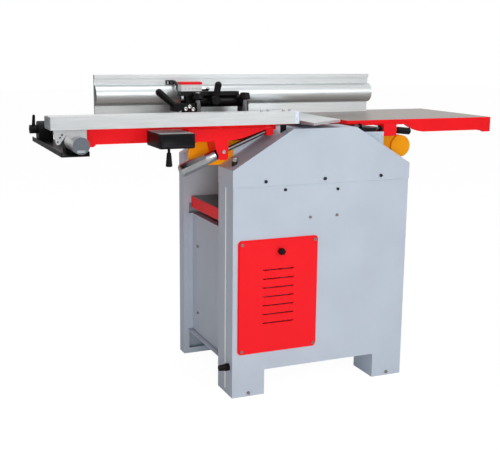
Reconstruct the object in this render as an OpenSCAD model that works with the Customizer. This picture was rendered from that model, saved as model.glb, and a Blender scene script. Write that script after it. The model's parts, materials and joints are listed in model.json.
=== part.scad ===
// Combination planer thicknesser: two planing tables over a cutterblock, with a
// rising thicknessing table below it. Millimetres, +Z up, standing on z = 0.
// Working places are taken from the cabinet's middle (x), the outer face of its
// near wall (y, growing towards the far wall) and the floor (z).

/* [Cabinet] */
// Width of the cabinet along the feed
cabinet_w = 630; // [600:1:660]
// Depth from the near wall's outer face to the far wall's outer face
cabinet_d = 508; // [500:1:520]
// Depth of the boxed near wall that holds the drive
near_wall_d = 125; // [120:1:130]
// Depth of the far wall
far_wall_d = 48; // [44:1:54]
// Height of the walls' flat top
wall_top_z = 856; // [845:1:870]
// Height at which the shoulders start to slant
shoulder_z = 734; // [722:1:745]
// Width of the walls' flat top
wall_top_w = 224; // [210:1:236]
// Height of the seam between lower pan and head panel
seam_z = 681; // [660:1:700]
// Width of each foot
foot_w = 115; // [100:1:130]
// Height of the gap between the feet
foot_gap_h = 82; // [70:1:86]
// Thickness of the cabinet's sheet steel
sheet_t = 2.5; // [2:0.1:3]

/* [Planing tables] */
// Length of the outfeed table from the cutterblock's axis
outfeed_len = 752; // [720:1:780]
// Length of the infeed table from the cutterblock's axis
infeed_len = 692; // [660:1:720]
// Setback of the tables' near edge from the near wall's face
table_setback = 75; // [70:1:82]
// Width of the tables across the feed
table_d = 432; // [426:1:440]
// Thickness of the tables' top plate
plate_t = 12; // [11:0.5:14]
// Depth of the tables' outer side ribs, top included
rib_h = 50; // [44:1:54]
// Thickness of the ribs
rib_t = 12; // [9:0.5:14]
// Largest depth of cut
cut_depth = 4; // [2:0.5:5]

/* [Cutterblock] */
// Diameter of the circle that the knife edges cut
cutting_d = 73; // [70:0.5:76]
// Diameter of the cutterblock's body
block_d = 70; // [66:0.5:69.5]
// Half width of the mouth between the table lips
mouth_half = 42; // [40:0.5:46]
// Number of knives
knife_count = 3; // [2:1:4]

/* [Fence] */
// Length of the fence
fence_len = 1028; // [950:1:1060]
// Overhang of the fence on the outfeed side of the cutterblock
fence_out = 636; // [600:1:660]
// Height of the fence
fence_h = 137.5; // [134:0.5:142]
// Place of the fence's near face across the tables
fence_y = 420; // [414:1:424]
// Thickness of the fence's plate
fence_t = 7; // [6:0.5:8]
// Radius of the half-round stiffener
bulge_r = 34; // [32:0.5:35]

/* [Guard] */
// Length of the guard bar
bar_len = 760; // [720:1:765]
// Depth of the guard bar across the tables
bar_d = 78; // [70:1:82]
// Height of the guard bar
bar_h = 36.5; // [32:0.5:40]
// Overhang of the guard bar past the outfeed table's end
bar_overhang = 112; // [108:1:120]

/* [Thicknesser] */
// Length of the thicknessing table
thick_len = 580; // [560:1:590]
// Height of the thicknessing table's face as photographed
thick_z = 585; // [580:1:600]
// Height of the thicknessing table's casting
thick_t = 40; // [36:1:44]

/* [Chip hood] */
// Length of the hood on the outfeed side
hood_out = 415; // [400:1:430]
// Length of the hood on the infeed side
hood_in = 389; // [380:1:400]
// Height of the hood's underside
hood_z = 738; // [736:1:742]
// Height of the hood
hood_h = 74; // [70:1:75]
// Diameter of the hose spigot
spigot_d = 63; // [50:1:64]

/* [Controls] */
// Slant of the outfeed lock rod
lock_slant = 22; // [20:0.5:23]
// Slant of the depth spindle
spindle_slant = 6; // [5:0.5:7]
// Diameter of the lock rod
lock_rod_d = 14; // [12:0.5:15]
// Diameter of the lock handle
lock_handle_d = 40; // [36:1:42]
// Diameter of the rise and fall handwheel
wheel_d = 160; // [140:1:180]
// Width of the drive cover
cover_w = 277; // [260:1:280]
// Height of the drive cover
cover_h = 371; // [350:1:380]

/* [Hidden] */
$fn = 64;

// General fits
over = 2;            // overrun of every cut
run_fit = 0.05;      // radial clearance of a shaft in its bore
slide_fit = 0.3;     // clearance between sliding or swinging faces
grip_sides = 6;      // sides of a bolt head

// Overall places
half_w = cabinet_w / 2;
inner_y0 = near_wall_d;
inner_y1 = cabinet_d - far_wall_d;
table_gap = 2;
plate_z = wall_top_z + table_gap;
table_z = plate_z + plate_t;
table_y0 = table_setback;
table_y1 = table_setback + table_d;
rib_z = table_z - rib_h;
hinge_out = 22;
hinge_y = max(cabinet_d, table_y1) + hinge_out;
hinge_drop = 20;
hinge_z = plate_z - hinge_drop;
knuckle_r = 16;
bar_x0 = -outfeed_len - bar_overhang;
cover_tip_y = -77;
origin_x = (infeed_len + bar_x0) / 2;
origin_y = (hinge_y + knuckle_r + cover_tip_y) / 2;

module part() translate([-origin_x, -origin_y, 0]) children();

// Shapes that repeat
module box(x, y, z) translate([x[0], y[0], z[0]]) cube([x[1] - x[0], y[1] - y[0], z[1] - z[0]]);
module rod_x(y, z, r, x) translate([x[0], y, z]) rotate([0, 90, 0]) cylinder(r = r, h = x[1] - x[0]);
module rod_y(x, z, r, y) translate([x, y[1], z]) rotate([90, 0, 0]) cylinder(r = r, h = y[1] - y[0]);
module rod_z(x, y, r, z) translate([x, y, z[0]]) cylinder(r = r, h = z[1] - z[0]);
module prism_y(points, y) translate([0, y[1], 0]) rotate([90, 0, 0]) linear_extrude(y[1] - y[0])
    polygon(points);
module prism_x(points, x) translate([x[0], 0, 0]) rotate([90, 0, 90]) linear_extrude(x[1] - x[0])
    polygon(points);
module bolt_y(x, z, r, y) translate([x, y[1], z]) rotate([90, 0, 0])
    cylinder(r = r, h = y[1] - y[0], $fn = grip_sides);
function flip(points) = [for (i = [len(points) - 1:-1:0]) [-points[i][0], points[i][1]]];

// Cabinet walls
top_half = wall_top_w / 2;
slant_x = half_w - top_half;
slant_z = wall_top_z - shoulder_z;
slant_l = sqrt(slant_x * slant_x + slant_z * slant_z);
pan_d = near_wall_d / 2;
seam_gap = 1;
seam_step = sheet_t - seam_gap;
seam_lap = 12;
lip_w = 20;
head_plate_z = 560;
head_plate_t = 2.5;
anchor_r = 6;
anchor_x = half_w - foot_w / 2;
anchor_near_y = pan_d / 2;
anchor_far_y = cabinet_d - far_wall_d / 2;

function shoulder_at(x) = wall_top_z - (abs(x) - top_half) * slant_z / slant_x;
function feet_points(i, low) = [
    [-half_w + i, i - low], [-half_w + foot_w - i, i - low], [-half_w + foot_w - i, foot_gap_h + i],
    [half_w - foot_w + i, foot_gap_h + i], [half_w - foot_w + i, i - low], [half_w - i, i - low]];
function shoulder_points(i) = let (
    side = shoulder_z - i * (slant_l - slant_z) / slant_x,
    top = top_half + i * (slant_x - slant_l) / slant_z)
    [[half_w - i, side], [top, wall_top_z - i], [-top, wall_top_z - i], [-half_w + i, side]];
function lower_outline(i, top) = concat(feet_points(i, seam_step), [[half_w - i, top], [-half_w + i, top]]);
function upper_outline(i, low) = concat([[-half_w + i, low], [half_w - i, low]], shoulder_points(i));
function wall_outline(i) = concat(feet_points(i, 0), shoulder_points(i));

// Drive: motor behind the vented cover, belt up to the cutterblock
motor_off = 0.5;
motor_x = -half_w / 2 - motor_off;
motor_z = 330;
motor_r = 85;
motor_y = [140, 392];
motor_shaft_r = 14;
motor_pulley_r = 22;
cutter_pulley_r = 15;
pulley_y = [66, 92];
belt_w = 20;
belt_t = 3;
belt_y = [pulley_y[0] + (pulley_y[1] - pulley_y[0] - belt_w) / 2,
    pulley_y[1] - (pulley_y[1] - pulley_y[0] - belt_w) / 2];
flange_t = 2;
flange_r = 2;

// Cutterblock and feed rollers
cutter_z = table_z - cutting_d / 2;
shaft_r = 12;
bearing_r = 16.5;
bearing_flange_r = 19;
bearing_len = 16;
drum_gap = 3;
drum_y = [inner_y0 + drum_gap, inner_y1 - head_plate_t - drum_gap];
roller_r = 16;
roller_x = 68;
roller_drop = 0.5;
roller_z = cutter_z - cutting_d / 2 - roller_drop + roller_r;
roller_shaft_r = 8;
roller_block = 34;
roller_block_t = 14;
roller_hole_gap = 2;
shaft_tail = 2;

module wall_holes(y) {
    rod_y(0, cutter_z, bearing_r + slide_fit, y);
    for (x = [-roller_x, roller_x]) rod_y(x, roller_z, roller_shaft_r + roller_hole_gap, y);
}

module anchor_holes() {
    for (x = [-anchor_x, anchor_x], y = [anchor_near_y, anchor_far_y])
        rod_z(x, y, anchor_r, [-over, sheet_t + over]);
}

// Drive cover on the near wall
cover_in = 18;
cover_x0 = cover_in - half_w;
cover_z0 = 143;
cover_t = 6;
cover_edge = 3;
cover_round = 12;
cover_rim = 16;
cover_screw_in = 12;
cover_screw_r = 5;
knob_share = 0.52;
knob_x = cover_x0 + cover_w * knob_share;
knob_drop = 41;
knob_r = 11;
knob_len = 16;
knob_stem_r = 4;
slot_count = 7;
slot_w = 109;
slot_h = 9;
slot_x0 = 84;
slot_top = 97;
slot_pitch = 29;
cover_x1 = cover_x0 + cover_w;
cover_z1 = cover_z0 + cover_h;
knob_z = cover_z1 - knob_drop;
pan_y0 = seam_step;

module near_side_frame() color("lightsteelblue") part() difference() {
    union() {
        prism_y(lower_outline(seam_step, seam_z - seam_gap), [pan_y0, pan_d]);
        prism_y(lower_outline(seam_step + seam_gap, seam_z + seam_lap), [pan_y0 + seam_gap,
            pan_d + seam_gap]);
    }
    prism_y(lower_outline(seam_step + sheet_t, seam_z + seam_lap + over),
        [pan_y0 + sheet_t, pan_d + seam_gap + over]);
    box([cover_x0 + cover_rim, cover_x1 - cover_rim], [-over, pan_d],
        [cover_z0 + cover_rim, cover_z1 - cover_rim]);
    anchor_holes();
}

module near_inner_frame() color("lightsteelblue") part() difference() {
    union() {
        prism_y(lower_outline(seam_step, seam_z - seam_gap), [pan_d + seam_gap, near_wall_d]);
        prism_y(wall_outline(sheet_t + slide_fit), [near_wall_d - sheet_t, near_wall_d]);
    }
    prism_y(lower_outline(seam_step + sheet_t, seam_z + over), [pan_d, near_wall_d - sheet_t]);
    wall_holes([pan_d, near_wall_d + over]);
    rod_y(motor_x, motor_z, motor_shaft_r + roller_hole_gap, [pan_d, near_wall_d + over]);
}

// Sheet-metal head with an upstand along the inner edge of its left shoulder
rim_x = [265, 160];
side_hole_r = 3;
side_hole_in = 11;
side_hole_up = 19;
rim_h = 30;
rim_tip = 8;
module near_head_panel() color("lightsteelblue") part() {
    difference() {
        prism_y(upper_outline(0, seam_z), [0, near_wall_d]);
        prism_y(upper_outline(sheet_t, seam_z - over), [sheet_t, near_wall_d + over]);
        rod_x(near_wall_d - side_hole_in, seam_z + side_hole_up, side_hole_r, [-half_w - over,
            -half_w + sheet_t + over]);
    }
    prism_y([for (p = [[rim_x[0], -sheet_t / 2], [rim_x[0], rim_h], [rim_x[1], rim_tip], [rim_x[1],
        -sheet_t / 2]])
        [-p[0], shoulder_at(p[0]) + p[1]]], [near_wall_d - sheet_t, near_wall_d]);
}

module far_side_frame() color("lightsteelblue") part() difference() {
    prism_y(wall_outline(0), [inner_y1, cabinet_d]);
    prism_y(wall_outline(sheet_t), [inner_y1 + sheet_t, cabinet_d - sheet_t]);
    prism_y(wall_outline(lip_w), [inner_y1 - over, inner_y1 + sheet_t + over]);
    rod_y(0, cutter_z, bearing_flange_r + slide_fit, [inner_y1 - over, inner_y1 + sheet_t + over]);
    anchor_holes();
}

module far_head_plate() color("lightsteelblue") part() difference() {
    prism_y(upper_outline(sheet_t, head_plate_z), [inner_y1 - head_plate_t, inner_y1]);
    wall_holes([inner_y1 - head_plate_t - over, inner_y1 + over]);
}

// Cross panels and base shelf
panel_in = 32;
panel_x = half_w - panel_in;
panel_flange = 17;
panel_z0 = 94;
panel_z1 = 522;
panel_lip = 26;
shelf_z = 88;
shelf_t = 3;
shelf_flange = 24;
wheel_shaft_r = 8;
wheel_shaft_z = 180;
lift_y = (inner_y0 + inner_y1) / 2;
bush_r = 14;
bush_len = 26;

module cross_panel(cut) {
    y = [inner_y0, inner_y1];
    difference() {
        union() {
            box([-panel_x, -panel_x + sheet_t], y, [panel_z0, panel_z1]);
            for (end = [[y[0], y[0] + sheet_t], [y[1] - sheet_t, y[1]]])
                box([-panel_x - panel_flange, -panel_x], end, [panel_z0, panel_z1]);
            box([-panel_x, -panel_x + panel_lip], y, [panel_z1 - sheet_t, panel_z1]);
        }
        if (cut) rod_x(lift_y, wheel_shaft_z, bush_r, [-panel_x - over, -panel_x + sheet_t + over]);
    }
}

module left_cross_panel() color("lightsteelblue") part() cross_panel(false);
module right_cross_panel() color("lightsteelblue") part() mirror([1, 0, 0]) cross_panel(true);

module base_shelf() color("lightsteelblue") part() {
    box([-panel_x - panel_flange, panel_x + panel_flange], [inner_y0, inner_y1], [shelf_z,
        shelf_z + shelf_t]);
    for (y = [[inner_y0, inner_y0 + shelf_t], [inner_y1 - shelf_t, inner_y1]])
        box([-panel_x + panel_lip, panel_x - panel_lip], y, [shelf_z + shelf_t, shelf_z + shelf_flange]);
}

// Drive cover with pressed edge and louvre slots
module rounded_plate(x, z, r, y) {
    box([x[0] + r, x[1] - r], y, z);
    box(x, y, [z[0] + r, z[1] - r]);
    for (cx = [x[0] + r, x[1] - r], cz = [z[0] + r, z[1] - r]) rod_y(cx, cz, r, y);
}

module drive_cover() color("red") part() difference() {
    union() {
        rounded_plate([cover_x0, cover_x1], [cover_z0, cover_z1], cover_round, [pan_y0 - cover_edge,
            pan_y0]);
        rounded_plate([cover_x0 + cover_edge, cover_x1 - cover_edge],
            [cover_z0 + cover_edge, cover_z1 - cover_edge], cover_round - cover_edge,
            [pan_y0 - cover_t, pan_y0 - cover_edge]);
    }
    for (i = [0:slot_count - 1])
        let (z = cover_z1 - slot_top - i * slot_pitch)
        rounded_plate([cover_x0 + slot_x0, cover_x0 + slot_x0 + slot_w], [z - slot_h / 2, z + slot_h / 2],
            slot_h / 2 - slide_fit, [pan_y0 - cover_t - over, pan_y0 + over]);
    rod_y(knob_x, knob_z, knob_stem_r + run_fit, [pan_y0 - cover_t - over, pan_y0 + over]);
}

screw_head = 3;
module cover_screws()
    for (x = [cover_x0 + cover_screw_in, cover_x1 - cover_screw_in],
        z = [cover_z0 + cover_screw_in, cover_z1 - cover_screw_in])
        difference() {
            rod_y(x, z, cover_screw_r, [pan_y0 - cover_t - screw_head, pan_y0 - cover_t]);
            bolt_y(x, z, cover_screw_r / 2, [pan_y0 - cover_t - screw_head - over,
                pan_y0 - cover_t - screw_head / 2]);
        }

cam_len = 30;
knob_lobes = 6;
knob_core_share = 0.8;
knob_lobe_share = 0.72;
cam_t = 4;
module cover_knob() color("black") part() {
    front = pan_y0 - cover_t - slide_fit;
    rod_y(knob_x, knob_z, knob_r * knob_core_share, [front - knob_len, front]);
    for (a = [0:360 / knob_lobes:359]) rod_y(knob_x + knob_r * knob_lobe_share * cos(a),
        knob_z + knob_r * knob_lobe_share * sin(a), knob_r * (1 - knob_lobe_share), [front - knob_len,
            front - knob_stem_r / 2]);
    rod_y(knob_x, knob_z, knob_stem_r, [front, pan_y0 + sheet_t + slide_fit + cam_t]);
    box([knob_x - knob_stem_r, knob_x + knob_stem_r],
        [pan_y0 + sheet_t + slide_fit, pan_y0 + sheet_t + slide_fit + cam_t], [knob_z, knob_z + cam_len]);
}

// Fasteners on the near wall: cover screws, a row on the head panel, small ones, one at each foot
bolt_r = 5.5;
bolt_h = 5;
row_up = 15;
row_z = seam_z + row_up;
row_pitch = 206;
small_r = 4.5;
small_places = [[-138, 667], [48, 660], [-48, 574], [48, 575]];
foot_bolt_z = 12;
panel_screw_zs = [412, 169];
panel_screw_in = 60;
module frame_bolts() color("dimgray") part() {
    cover_screws();
    for (i = [-1:1]) bolt_y(i * row_pitch, row_z, bolt_r, [-bolt_h, 0]);
    for (p = small_places) rod_y(p[0], p[1], small_r, [pan_y0 - small_r, pan_y0]);
    for (z = panel_screw_zs) rod_x(inner_y1 - panel_screw_in, z, small_r, [-half_w + panel_in - small_r,
        -half_w + panel_in]);
    for (x = [-anchor_x, anchor_x]) bolt_y(x, foot_bolt_z, bolt_r, [pan_y0 - bolt_h, pan_y0]);
}

gland_z = 97;
gland_r = 13;
gland_nut = 12;
gland_len = 22;
gland_seat_r = 11;
gland_neck_r = 9;
gland_bore_r = 5;
module cable_gland() color("black") part() translate([-half_w + seam_step, pan_d / 2,
    gland_z]) rotate([0, -90, 0])
    difference() {
        union() {
            cylinder(r = gland_r, h = gland_nut, $fn = grip_sides);
            translate([0, 0, gland_nut]) cylinder(r1 = gland_seat_r, r2 = gland_neck_r, h = gland_len);
        }
        translate([0, 0, gland_nut]) cylinder(r = gland_bore_r, h = gland_len + over);
    }

// Motor, its cradle, pulleys and belt
fin_count = 24;
fin_h = 6;
fin_t = 3;
foot_pad_w = 110;
cradle_t = 8;
cradle_top_z = motor_z - motor_r - cradle_t;
fan_cover = 50;
module motor_body() color("dimgray") part() {
    difference() {
        union() {
            rod_y(motor_x, motor_z, motor_r - fin_h, [motor_y[0], motor_y[1]]);
            for (i = [0:fin_count - 1]) translate([motor_x, 0, motor_z]) rotate([0, i * 360 / fin_count, 0])
                box([-fin_t / 2, fin_t / 2], [motor_y[0] + cradle_t, motor_y[1] - fan_cover], [0, motor_r]);
            rod_y(motor_x, motor_z, motor_r, [motor_y[1] - fan_cover + cradle_t, motor_y[1]]);
            box([motor_x - foot_pad_w / 2, motor_x + foot_pad_w / 2],
                [motor_y[0] + fan_cover, motor_y[1] - 2 * fan_cover], [cradle_top_z + cradle_t,
                    motor_z - motor_r / 2]);
        }
        rod_y(motor_x, motor_z, motor_shaft_r + run_fit, [motor_y[0] - over, motor_y[1] - fan_cover]);
    }
}

module motor_mount() color("lightsteelblue") part() {
    y = [motor_y[0] + fan_cover - cradle_t, motor_y[1] - 2 * fan_cover + cradle_t];
    x = [motor_x - foot_pad_w / 2 - cradle_t, motor_x + foot_pad_w / 2 + cradle_t];
    box(x, y, [cradle_top_z, cradle_top_z + cradle_t]);
    for (side = [[x[0], x[0] + cradle_t], [x[1] - cradle_t, x[1]]])
        box(side, y, [shelf_z + shelf_t, cradle_top_z]);
}

module pulley(x, z, r) {
    rod_y(x, z, r, pulley_y);
    for (y = [[pulley_y[0] - flange_t, pulley_y[0]], [pulley_y[1], pulley_y[1] + flange_t]])
        rod_y(x, z, r + flange_r, y);
}

module motor_pulley() color("gray") part() {
    pulley(motor_x, motor_z, motor_pulley_r);
    rod_y(motor_x, motor_z, motor_shaft_r, [pulley_y[1], motor_y[1] - fan_cover - shaft_tail]);
}

module belt_loop(extra, y) hull() {
    rod_y(motor_x, motor_z, motor_pulley_r + extra, y);
    rod_y(0, cutter_z, cutter_pulley_r + extra, y);
}
module drive_belt() color("black") part() difference() {
    belt_loop(slide_fit + belt_t, belt_y);
    belt_loop(slide_fit, [belt_y[0] - over, belt_y[1] + over]);
}

// Cutterblock with slots for its knives
knife_t = 3;
knife_h = 22;
gib_t = 8;
gib_sink = 2;
block_r = block_d / 2;
bearing_far = [inner_y1, inner_y1 + bearing_len];
bearing_near = [near_wall_d - sheet_t - bearing_len, near_wall_d - sheet_t];
module knife_slot(t, low, high, y) box([-t / 2, t / 2], y, [low, high]);
module cutterblock() color("silver") part() {
    difference() {
        rod_y(0, cutter_z, block_r, drum_y);
        for (i = [0:knife_count - 1]) translate([0, 0, cutter_z]) rotate([0, i * 360 / knife_count, 0])
            knife_slot(knife_t + gib_t, block_r - knife_h, block_r + over, [drum_y[0] - over,
                drum_y[1] + over]);
    }
    rod_y(0, cutter_z, shaft_r, [pulley_y[1] + flange_t, drum_y[0]]);
    rod_y(0, cutter_z, shaft_r, [drum_y[1], bearing_far[1] + shaft_tail]);
}

module cutter_knives() color("white") part()
    for (i = [0:knife_count - 1]) translate([0, 0, cutter_z]) rotate([0, i * 360 / knife_count, 0]) {
        low = block_r - knife_h;
        translate([-gib_t / 2, 0, 0]) knife_slot(knife_t, low, cutting_d / 2, drum_y);
        translate([knife_t / 2, 0, 0]) knife_slot(gib_t, low, block_r - gib_sink, drum_y);
    }

module cutter_pulley() color("gray") part() {
    pulley(0, cutter_z, cutter_pulley_r);
}

module bearing_unit(y, flange) difference() {
    union() {
        rod_y(0, cutter_z, bearing_r, y);
        rod_y(0, cutter_z, bearing_flange_r, flange);
    }
    rod_y(0, cutter_z, shaft_r + run_fit, [y[0] - over, y[1] + over]);
}
bearing_flange_t = 7;
module cutter_bearings() color("dimgray") part() {
    bearing_unit([bearing_near[0], near_wall_d], [bearing_near[1] - bearing_flange_t, bearing_near[1]]);
    bearing_unit([inner_y1 - head_plate_t, bearing_far[1]], [bearing_far[0],
        bearing_far[0] + bearing_flange_t]);
}

// Feed rollers: a fluted one and a plain one, in blocks behind the wall plates
flute_count = 24;
flute_r = 1.6;
roller_y = [near_wall_d - sheet_t - roller_block_t - shaft_tail, inner_y1 + roller_block_t + shaft_tail];
module roller(x, fluted) {
    difference() {
        rod_y(x, roller_z, roller_r, drum_y);
        if (fluted) for (i = [0:flute_count - 1]) translate([x, 0, roller_z]) rotate([0,
            i * 360 / flute_count, 0])
            rod_y(roller_r, 0, flute_r, [drum_y[0] - over, drum_y[1] + over]);
    }
    rod_y(x, roller_z, roller_shaft_r, [roller_y[0], drum_y[0]]);
    rod_y(x, roller_z, roller_shaft_r, [drum_y[1], roller_y[1]]);
}
module infeed_roller() color("gray") part() roller(roller_x, true);
module outfeed_roller() color("gray") part() roller(-roller_x, false);

block_drop = 14;
module roller_blocks() color("dimgray") part()
    for (x = [-roller_x, roller_x], y = [[near_wall_d - sheet_t - roller_block_t, near_wall_d - sheet_t],
            [inner_y1, inner_y1 + roller_block_t]])
        difference() {
            box([x - roller_block / 2, x + roller_block / 2], y,
                [roller_z - roller_block / 2 - block_drop, roller_z + block_drop]);
            rod_y(x, roller_z, roller_shaft_r + run_fit, [y[0] - over, y[1] + over]);
            rod_y(0, cutter_z, bearing_flange_r + slide_fit, [y[0] - over, y[1] + over]);
        }

// Chip hood: a shell with round ends, open under the cutterblock, and a hose spigot
hood_t = 2.5;
hood_r = hood_h / 2;
hood_y = [inner_y0 + slide_fit, inner_y1 - head_plate_t - slide_fit];
hood_mouth = 100;
hood_cut = 22;
spigot_len = 50;
spigot_y = 330;
spigot_t = 2.5;
spigot_rim = 4;
hood_skew = 116;
hood_cap = 9;
hood_cap_w = 56;
hood_mid_z = hood_z + hood_h / 2;
module hood_form(i, y) {
    intersection() {
        union() {
            box([-hood_out + hood_r, hood_in - hood_r], y, [hood_z + i, hood_z + hood_h - i]);
            for (x = [-hood_out + hood_r, hood_in - hood_r]) rod_y(x, hood_mid_z, hood_r - i, y);
        }
        translate([0, 0, hood_z]) linear_extrude(hood_h) polygon([[i - hood_out, hood_y[0]], [hood_in,
            hood_y[0]],
            [hood_in, hood_y[1]], [i - hood_out + hood_skew, hood_y[1]]]);
    }
}
module chip_hood() color("orange") part() difference() {
    union() {
        hood_form(0, hood_y);
        rod_x(spigot_y, hood_mid_z, spigot_d / 2, [hood_in - hood_r, hood_in + spigot_len]);
        rod_x(spigot_y, hood_mid_z, spigot_d / 2 + spigot_rim, [hood_in - hood_r, hood_in]);
        box([hood_in - hood_cap_w, hood_in - hood_r], [hood_y[0] - hood_cap, hood_y[0] + hood_t],
            [hood_z, hood_z + hood_h]);
        rod_y(hood_in - hood_r, hood_mid_z, hood_r, [hood_y[0] - hood_cap, hood_y[0] + hood_t]);
    }
    hood_form(hood_t, [hood_y[0] + hood_t, hood_y[1] - hood_t]);
    box([-hood_mouth, hood_mouth], [hood_y[0] - over, hood_y[1] + over],
        [hood_z + hood_h - hood_cut, hood_z + hood_h + over]);
    rod_x(spigot_y, hood_mid_z, spigot_d / 2 - spigot_t, [hood_in - hood_r, hood_in + spigot_len + over]);
}

// Catches that the lock rod and the spindle's clip bear on, and the tables' rest bolts
catch_y = [40, 46];
catch_left = [-138, -120];
catch_right = [187, 236];
stop_x = [150, 205];
stop_h = [14, 13];
catch_left_h = 25;
catch_right_h = 53;
module catch_tab(x, h) {
    low = min(shoulder_at(x[0]), shoulder_at(x[1]));
    prism_y([[x[0], shoulder_at(x[0])], [x[1], shoulder_at(x[1])], [x[1], low + h], [x[0], low + h]],
        catch_y);
}
module lock_catches() color("lightsteelblue") part() {
    catch_tab(catch_left, catch_left_h);
    catch_tab(catch_right, catch_right_h);
    top = shoulder_at(catch_right[1]) + catch_right_h;
    prism_y([[stop_x[0], shoulder_at(stop_x[0])], [catch_right[0], shoulder_at(catch_right[0])],
        [catch_right[0] + sheet_t, top], [stop_x[1], top], [stop_x[1], top + stop_h[1]],
        [stop_x[0], shoulder_at(stop_x[0]) + stop_h[0]]], catch_y);
}
rest_in = 22;
rest_x = half_w - rest_in;
rest_y = 42;
rest_r = 8;
rest_nut_r = 9;
rest_nut = 7;
rest_h = 18;

module table_rest_bolts() color("gainsboro") part() intersection() {
    union() {
        rod_z(-rest_x, rest_y, rest_nut_r, [shoulder_z - rest_h, shoulder_at(rest_x) + 2 * rest_nut]);
        rod_z(-rest_x, rest_y, rest_r, [shoulder_z - rest_h, shoulder_at(rest_x) + rest_h]);
    }
    prism_y([for (p = [[rest_x - rest_in, 0], [half_w, 0], [half_w, rest_h + slant_z],
        [rest_x - rest_in, rest_h + slant_z]]) [-p[0], shoulder_at(p[0]) + p[1]]], [0, near_wall_d]);
}

// Hinges along the far wall: brackets below, knuckles on the tables, one pin each side
pin_r = 8;
bracket_x = [222, 262];
arm_w = 30;
arm_gap = 1;
bracket_low = 96;
bracket_plate = 10;
bracket_step = 2;
inner_arm = [bracket_x[0] - arm_gap - arm_w, bracket_x[0] - arm_gap];
outer_arm = [bracket_x[1] + arm_gap, bracket_x[1] + arm_gap + arm_w];
bracket_foot_z = shoulder_at(bracket_x[1]) - bracket_step;
module hinge_bracket(x) difference() {
    union() {
        box(x, [cabinet_d, cabinet_d + bracket_plate], [bracket_foot_z - bracket_low, hinge_z]);
        prism_x([[cabinet_d, bracket_foot_z], [cabinet_d + bracket_plate, bracket_foot_z - bracket_low / 2],
            [hinge_y + knuckle_r, hinge_z - bracket_step], [hinge_y, hinge_z], [cabinet_d, hinge_z]], x);
        rod_x(hinge_y, hinge_z, knuckle_r, x);
    }
    rod_x(hinge_y, hinge_z, pin_r, [x[0] - over, x[1] + over]);
}
module hinge_brackets() color("dimgray") part()
    for (x = [bracket_x, [-bracket_x[1], -bracket_x[0]]]) hinge_bracket(x);
module hinge_pins() color("silver") part()
    for (side = [-1, 1]) rod_x(hinge_y, hinge_z, pin_r,
        side > 0 ? [inner_arm[0], outer_arm[1]] : [-outer_arm[1], -inner_arm[0]]);

// A hinge arm from the table's far rib to the pin
arm_root = 14;
module hinge_arm(x, y0) difference() {
    union() {
        prism_x([[y0, plate_z - arm_root], [hinge_y, hinge_z - knuckle_r], [hinge_y, hinge_z + knuckle_r],
            [y0, plate_z]], x);
        rod_x(hinge_y, hinge_z, knuckle_r, x);
    }
    rod_x(hinge_y, hinge_z, pin_r + run_fit, [x[0] - over, x[1] + over]);
}

// Planing tables: plate, side ribs, end and cross ribs
notch_out = 140;
notch_in = 118;
notch_gap = 3;
cross_rib_h = 18;
thin_rib = 10;
end_step = 36;
end_drop = 7;
arch_in = 412;
arch_in_run = 72;
arch_out = 430;
arch_out_run = 58;
arch_shares = [[0.16, 0.72], [0.5, 0.3], [0.8, 0.08]];
rib_in_h = 44;
thin_rib_in = 5;
lug_y = [50, table_y0 + rib_t];
lug_low = [311, 344];
lug_slant = 13;
lug_edge = 5;
lug_back = 4;
lug_plate_x = 440;
gusset_x = 260;
gusset_rise = 8;
lug_low_h = 108;
lug_high = [160, 184];
lug_high_h = 37;
lock_y = 62;
lock_top_x = 164;
lock_top_drop = 18;
lug_in = [242, 291];
lug_in_h = 52;
spindle_top_x = 135;
spindle_drop = 17;
spindle_r = 5.5;
groove_x = [164, 329];
groove_w = 18;
groove_depth = 8;
groove_far = 424;
thin_z = plate_z - thin_rib;
deep_z = rib_z;
cross_rib_count = 4;

module plate_form(len, notch) {
    near = inner_y0 + notch_gap;
    far = inner_y1 - notch_gap;
    translate([0, 0, plate_z]) linear_extrude(plate_t) polygon([[mouth_half, near], [notch, near],
        [notch, table_y0],
        [len, table_y0], [len, table_y1], [notch, table_y1], [notch, far], [mouth_half, far]]);
}
module side_rib(end, arch, run, start, thin, deep, y) prism_y(concat([[start, plate_z], [start, thin],
    [arch - run, thin]], [for (p = arch_shares) [arch - run * (1 - p[0]), deep + (thin - deep) * p[1]]],
    [[arch, deep], [end - end_step, deep], [end - end_step + end_drop, deep - end_drop], [end,
        deep - end_drop],
    [end, plate_z]]), y);
module table_body(len, arch, run, start, notch, thin, deep) {
    plate_form(len, notch);
    for (y = [[table_y0, table_y0 + rib_t], [table_y1 - rib_t, table_y1]])
        side_rib(len, arch, run, start, thin, deep, y);
    box([len - rib_t, len], [table_y0, table_y1], [deep - end_drop, plate_z]);
    for (i = [1:cross_rib_count])
        let (x = mouth_half + (len - mouth_half) * i / (cross_rib_count + 1))
        box([x - rib_t / 2, x + rib_t / 2], [table_y0 + rib_t, table_y1 - rib_t], [plate_z - cross_rib_h,
            plate_z]);
}

module lock_axis() translate([-lock_top_x, lock_y, plate_z - lock_top_drop + plate_t]) rotate([0,
    -90 - lock_slant, 0])
    children();
module spindle_axis() translate([spindle_top_x, lock_y, table_z - spindle_drop]) rotate([0,
    90 + spindle_slant, 0])
    children();
lock_cos = cos(lock_slant);
spindle_cos = cos(spindle_slant);

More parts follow.
